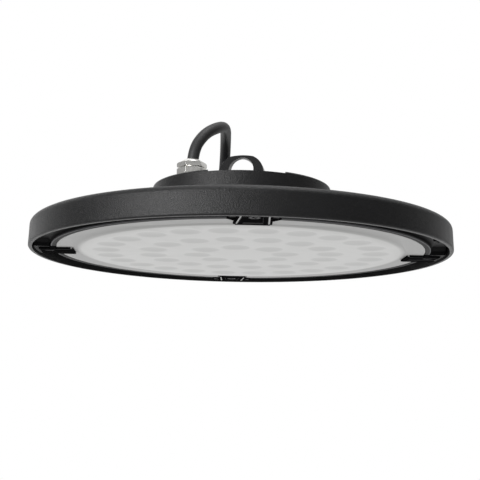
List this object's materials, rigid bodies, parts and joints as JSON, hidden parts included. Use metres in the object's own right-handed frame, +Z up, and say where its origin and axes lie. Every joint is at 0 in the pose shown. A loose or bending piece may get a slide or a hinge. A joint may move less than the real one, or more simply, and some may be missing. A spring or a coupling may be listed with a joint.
{
  "type": "high bay light",
  "caption": "Slim round high bay light with a finned housing, a dished frosted lens held by clips, a driver cover with a hanging eye, a cable gland and a short free lead.",
  "frame": {"origin": "centre of the plane of the rim, on which the light stands; without the lead it is the middle of the box's underside", "axes": "+Z up, towards the hanging eye; two of the lens clips on X; the cable gland on -X"},
  "size_m": [0.3, 0.3, 0.1095],
  "materials": {
    "housing_coat": "fine-textured satin black powder coat on die-cast aluminium",
    "tray_coat": "matt black powder coat",
    "lens": "frosted white polycarbonate",
    "clip_paint": "satin black paint",
    "nickel": "bright nickel plate",
    "steel_dark": "black zinc plate",
    "steel": "zinc plate",
    "seal": "black silicone rubber",
    "white_seal": "white silicone rubber",
    "cord_jacket": "black rubber jacket, satin",
    "core": "core insulation: brown, blue and green-yellow",
    "driver_case": "folded and pressed sheet",
    "terminal": "white moulded terminal block",
    "board": "aluminium core board with white solder mask",
    "pad": "grey heat-conducting sheet",
    "chip": "white frame with yellow phosphor"
  },
  "bodies": {
    "root": {"top_housing": "housing_coat", "driver_cover": "housing_coat", "hanging_eye": "housing_coat", "led_tray": "tray_coat", "lens_plate": "lens", "lens_clip_1": "clip_paint", "lens_clip_2": "clip_paint", "lens_clip_3": "clip_paint", "lens_clip_4": "clip_paint", "gland_body": "nickel", "gland_cap": "nickel", "gland_locknut": "nickel", "gland_washer": "seal", "gland_seal": "seal", "power_cord": "cord_jacket", "inner_lead": "cord_jacket", "cord_cores": "core", "inner_cores": "core", "cord_ferrules": "steel", "driver_leads": "core", "dc_leads": "core", "led_driver": "driver_case", "terminal_block": "terminal", "wire_grommet": "seal", "led_board": "board", "thermal_pad": "pad", "led_chips": "chip", "board_terminal": "terminal", "lens_gasket": "white_seal", "cover_gasket": "seal", "tray_screws": "steel_dark", "clip_screws": "steel_dark", "board_screws": "steel", "cover_screws": "steel_dark", "driver_screws": "steel", "eye_screws": "steel_dark"}
  },
  "joints": []
}
